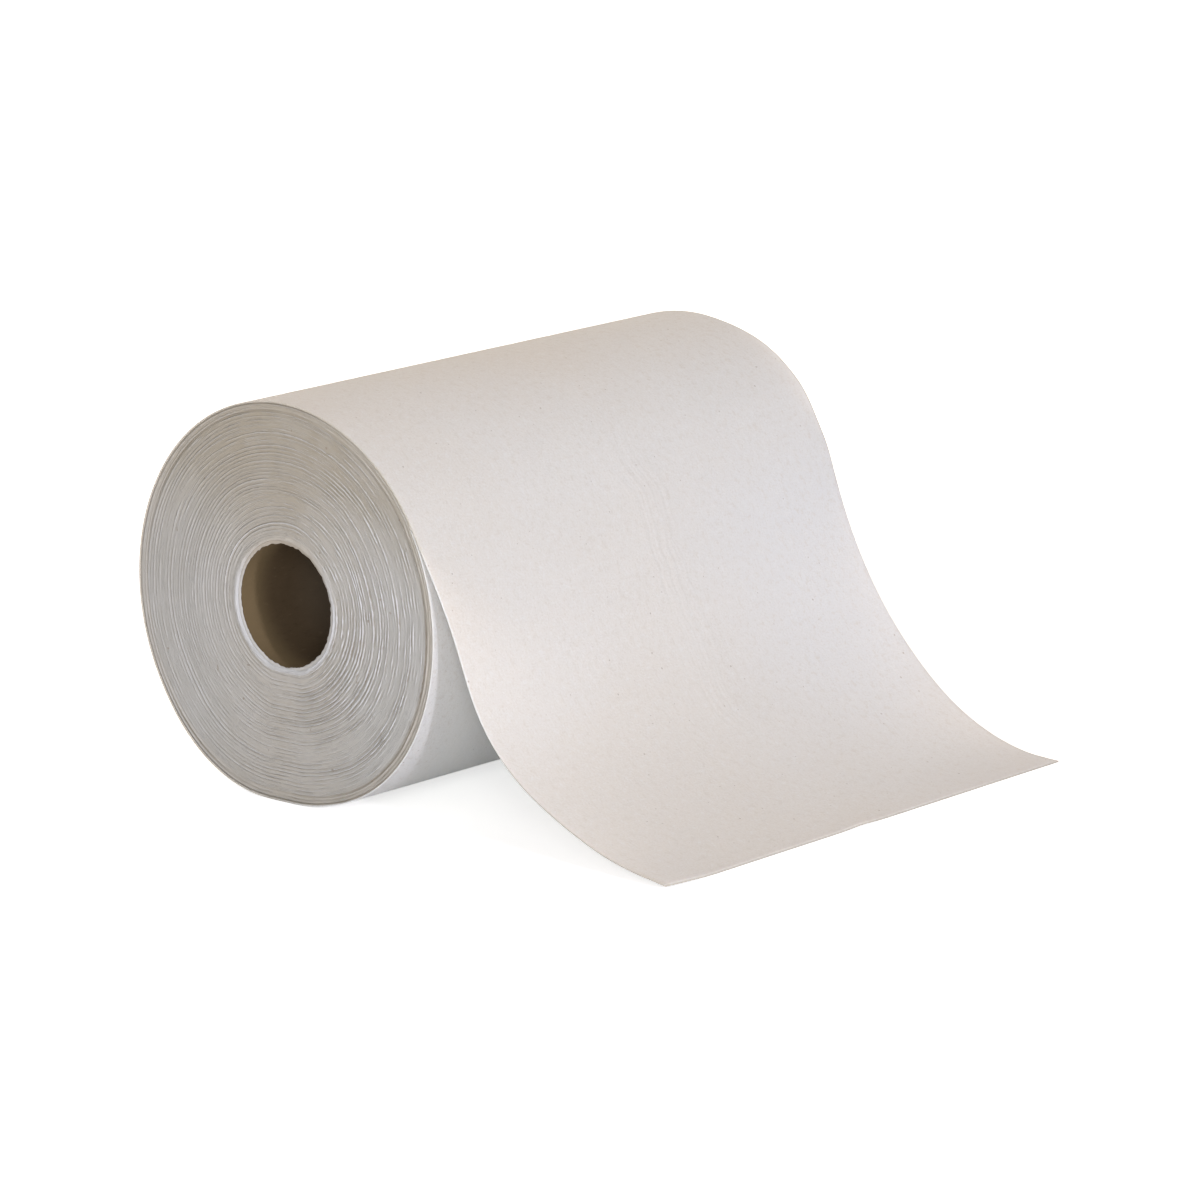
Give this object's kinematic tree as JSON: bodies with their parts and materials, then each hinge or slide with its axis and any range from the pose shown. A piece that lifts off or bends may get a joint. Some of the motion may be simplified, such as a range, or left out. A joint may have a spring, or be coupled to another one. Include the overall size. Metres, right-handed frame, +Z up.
{
  "type": "paper towel roll",
  "caption": "Hardwound roll of paper towel on a paperboard core, lying on its side with its free end let down to the floor in a curve.",
  "frame": {"origin": "on the floor, under the roll's axis, half way along the roll, in the middle of the flat spot that it lies on", "axes": "+X the way the free leaf runs out from the roll, +Y along the roll's axis, +Z up"},
  "size_m": [0.2294, 0.2, 0.1326],
  "materials": {
    "core_board": "uncoated spiral-wound board",
    "towel_paper": "soft uncoated tissue"
  },
  "bodies": {
    "root": {"core_tube": "core_board", "towel_web": "towel_paper"}
  },
  "joints": []
}
